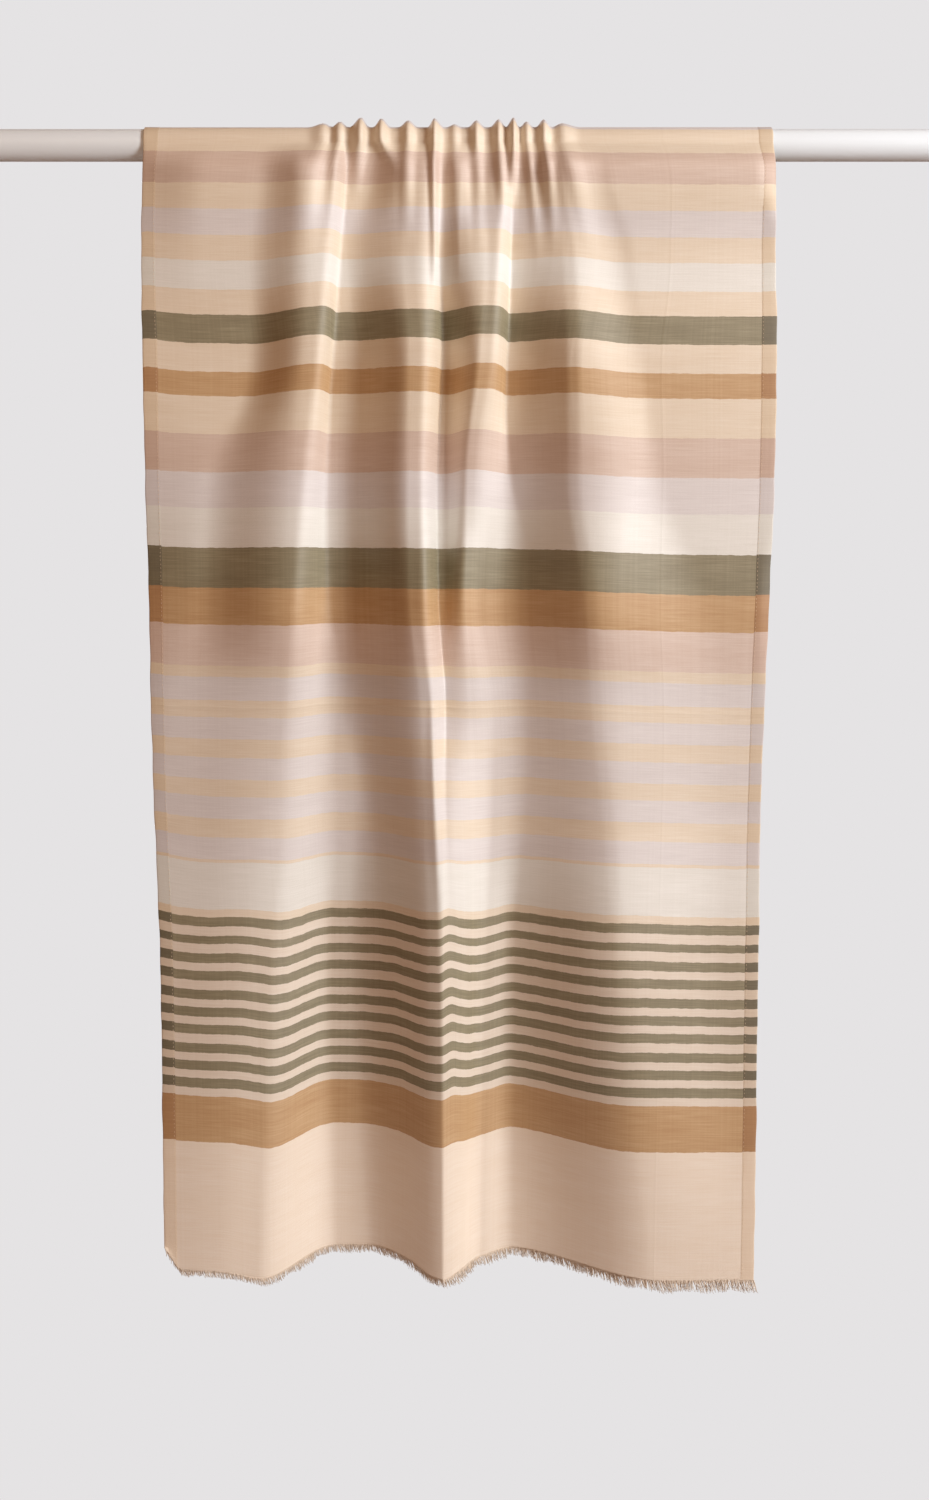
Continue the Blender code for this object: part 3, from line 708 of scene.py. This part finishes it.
def cloth_material(name, groups, depth):
    """Silky woven stripes. depth is how much deeper the darker colours look than in one layer of cloth."""
    material = bpy.data.materials.new(name)
    material.use_nodes = True
    tree = material.node_tree
    shader = tree.nodes["Principled BSDF"]
    uv = add(tree, "SeparateXYZ", {0: add(tree, "UVMap").outputs[0]})
    u, v = uv.outputs[0], uv.outputs[1]
    weave = add(tree, "Group", {}, node_tree=groups["weave"])
    creases = add(tree, "Group", {}, node_tree=groups["creases"])
    for node in (weave, creases):
        tree.links.new(u, node.inputs[0])
        tree.links.new(v, node.inputs[1])
    stripes = add(tree, "Group", {}, node_tree=groups["stripes"])
    tree.links.new(calc(tree, "ADD", v, weave.outputs["Edge shift"]), stripes.inputs[0])
    streaks = weave.outputs["Streaks"]
    threads = by_streaks(tree, streaks, depth + DARK_THREADS, depth - PALE_THREADS)
    woven = add(tree, "Gamma", {"Color": stripes.outputs[0], "Gamma": threads})
    tree.links.new(woven.outputs[0], shader.inputs["Base Color"])
    tree.links.new(by_streaks(tree, streaks, 0.72, 0.64), shader.inputs["Roughness"])
    fine = add(tree, "Bump", {"Height": weave.outputs["Height"], "Strength": 0.35, "Distance": 0.00025})
    fold = add(tree, "Bump", {"Height": creases.outputs[0], "Strength": 0.5, "Distance": 0.0010,
                              "Normal": fine.outputs[0]})
    tree.links.new(fold.outputs[0], shader.inputs["Normal"])
    shader.inputs["IOR"].default_value = 1.7
    shader.inputs["Specular IOR Level"].default_value = 1.0
    shader.inputs["Sheen Weight"].default_value = 0.1
    shader.inputs["Sheen Roughness"].default_value = 0.35
    shader.inputs["Sheen Tint"].default_value = (1.0, 0.93, 0.86, 1.0)
    return material


def thread_material(name, colour, rough):
    """Plain thread, lighter and darker in turns."""
    material = bpy.data.materials.new(name)
    material.use_nodes = True
    tree = material.node_tree
    shader = tree.nodes["Principled BSDF"]
    place = add(tree, "TexCoord").outputs["Object"]
    noise = add(tree, "TexNoise", {"Vector": place, "Scale": 260.0, "Detail": 2.0})
    light = add(tree, "MapRange", {"Value": noise.outputs["Fac"], "To Min": 0.8, "To Max": 1.15}).outputs[0]
    grey = add(tree, "CombineColor", {0: light, 1: light, 2: light}).outputs[0]
    tree.links.new(mix_colour(tree, "MULTIPLY", 1.0, linear(colour), grey), shader.inputs["Base Color"])
    shader.inputs["Roughness"].default_value = rough
    return material


def rod_material():
    """White satin paint with a brushed coat's faint unevenness. Its base colour carries a painted cool tint
    that offsets the studio's warm light.
    """
    material = bpy.data.materials.new("satin white paint")
    material.use_nodes = True
    tree = material.node_tree
    shader = tree.nodes["Principled BSDF"]
    place = add(tree, "TexCoord").outputs["Object"]
    drawn_out = add(tree, "Mapping", {"Vector": place, "Scale": (3.0, 60.0, 60.0)})
    noise = add(tree, "TexNoise", {"Vector": drawn_out.outputs[0], "Scale": 6.0, "Detail": 3.0})
    rough = add(tree, "MapRange", {"Value": noise.outputs["Fac"], "To Min": 0.38, "To Max": 0.5}).outputs[0]
    tree.links.new(rough, shader.inputs["Roughness"])
    tone = add(tree, "MapRange", {"Value": noise.outputs["Fac"], "To Min": 0.97, "To Max": 1.0}).outputs[0]
    grey = add(tree, "CombineColor", {0: tone, 1: tone, 2: tone}).outputs[0]
    # Base colour: white paint with a painted cool tint that offsets the warm light
    tree.links.new(mix_colour(tree, "MULTIPLY", 1.0, ROD_PAINT_COOLED_FOR_WARM_LIGHT, grey), shader.inputs["Base Color"])
    bumps = add(tree, "Bump", {"Height": noise.outputs["Fac"], "Strength": 0.12, "Distance": 0.0004})
    tree.links.new(bumps.outputs[0], shader.inputs["Normal"])
    return material


def area_light(name, place, target, size, power, colour):
    """A soft lamp that faces its target."""
    data = bpy.data.lights.new(name, "AREA")
    data.shape = "RECTANGLE"
    data.size, data.size_y = size
    data.energy = power
    data.color = colour
    obj = bpy.data.objects.new(name, data)
    obj.location = place
    way = np.array(target, float) - np.array(place, float)
    turn = math.atan2(-way[0], way[1])
    tilt = math.atan2(math.hypot(way[0], way[1]), -way[2])
    obj.rotation_euler = (tilt, 0.0, turn)
    bpy.context.scene.collection.objects.link(obj)


def build_studio():
    scene = bpy.context.scene
    camera = bpy.data.cameras.new("camera")
    camera.sensor_fit = "VERTICAL"
    camera.sensor_height = 36.0
    camera.lens = 36.0 * DISTANCE / (PHOTO_HIGH * MM)
    camera.shift_y = -(PHOTO_HIGH / 2 - EYE_ROW) / PHOTO_HIGH
    eye = bpy.data.objects.new("camera", camera)
    eye.location = (0.0, -DISTANCE, -(EYE_ROW - ROD_ROW) * MM)
    eye.rotation_euler = (math.pi / 2, 0.0, 0.0)
    scene.collection.objects.link(eye)
    scene.camera = eye
    for row in LIGHTS:
        area_light(*row)
    world_light()
    build_floor()
    scene.view_settings.view_transform = "Standard"


def world_light():
    """A warm soft light from all round, behind which the camera sees the photo's pale grey."""
    world = bpy.data.worlds.new("studio")
    bpy.context.scene.world = world
    world.use_nodes = True
    tree = world.node_tree
    tree.nodes.clear()
    seen = add(tree, "Background", {"Color": linear(BACKDROP), "Strength": 1.0})
    soft = add(tree, "Background", {"Color": SOFT_LIGHT, "Strength": SOFT_LIGHT_POWER})
    path = add(tree, "LightPath")
    mix = add(tree, "MixShader", {0: path.outputs["Is Camera Ray"], 1: soft.outputs[0], 2: seen.outputs[0]})
    out = add(tree, "OutputWorld")
    tree.links.new(mix.outputs[0], out.inputs["Surface"])


def build_floor():
    bm = bmesh.new()
    bm.faces.new([bm.verts.new((x, y, FLOOR_LEVEL)) for x, y in FLOOR_CORNERS])
    material = bpy.data.materials.new("pale floor")
    material.use_nodes = True
    shader = material.node_tree.nodes["Principled BSDF"]
    shader.inputs["Base Color"].default_value = linear(FLOOR_COLOUR)
    shader.inputs["Roughness"].default_value = 0.9
    new_object(bm, "floor", material)


def main():
    build_studio()
    cloth = Cloth()
    groups = {"stripes": stripe_group(), "weave": weave_group(), "creases": crease_group()}
    sheet = build_sheet(cloth, cloth_material("silky stripes", groups, CLOTH_DEPTH))
    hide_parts("front_fall", "crown", "back_fall")
    trims = []
    hem = cloth_material("turned hem", groups, HEM_DEPTH)
    thread = thread_material("sewing thread", SEWING_THREAD, 0.6)
    for side, from_left in (("left", True), ("right", False)):
        strip = build_hem(cloth, "hem_" + side, from_left, hem)
        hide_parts(*("%s_hem_%s" % (part, side) for part in ("front_fall", "crown", "back_fall")))
        stitches = build_stitches(cloth, "stitches_" + side, from_left, thread)
        trims += [strip, stitches]
    yarn = thread_material("warp ends", WARP_YARN, 0.7)
    front = build_fringe(cloth, "fringe_front", FRONT_DROP, *FRONT_FRINGE, yarn)
    back = build_fringe(cloth, "fringe_back", -CROWN_RUN - BACK_DROP, *BACK_FRINGE, yarn)
    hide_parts("front_fringe")
    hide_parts("back_fringe")
    trims += [front, back]
    for piece in [sheet, *trims]:
        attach(piece, "root")
    rod = bpy.data.objects["rod"]
    for slot in rod.material_slots:
        slot.material = rod_material()


main()
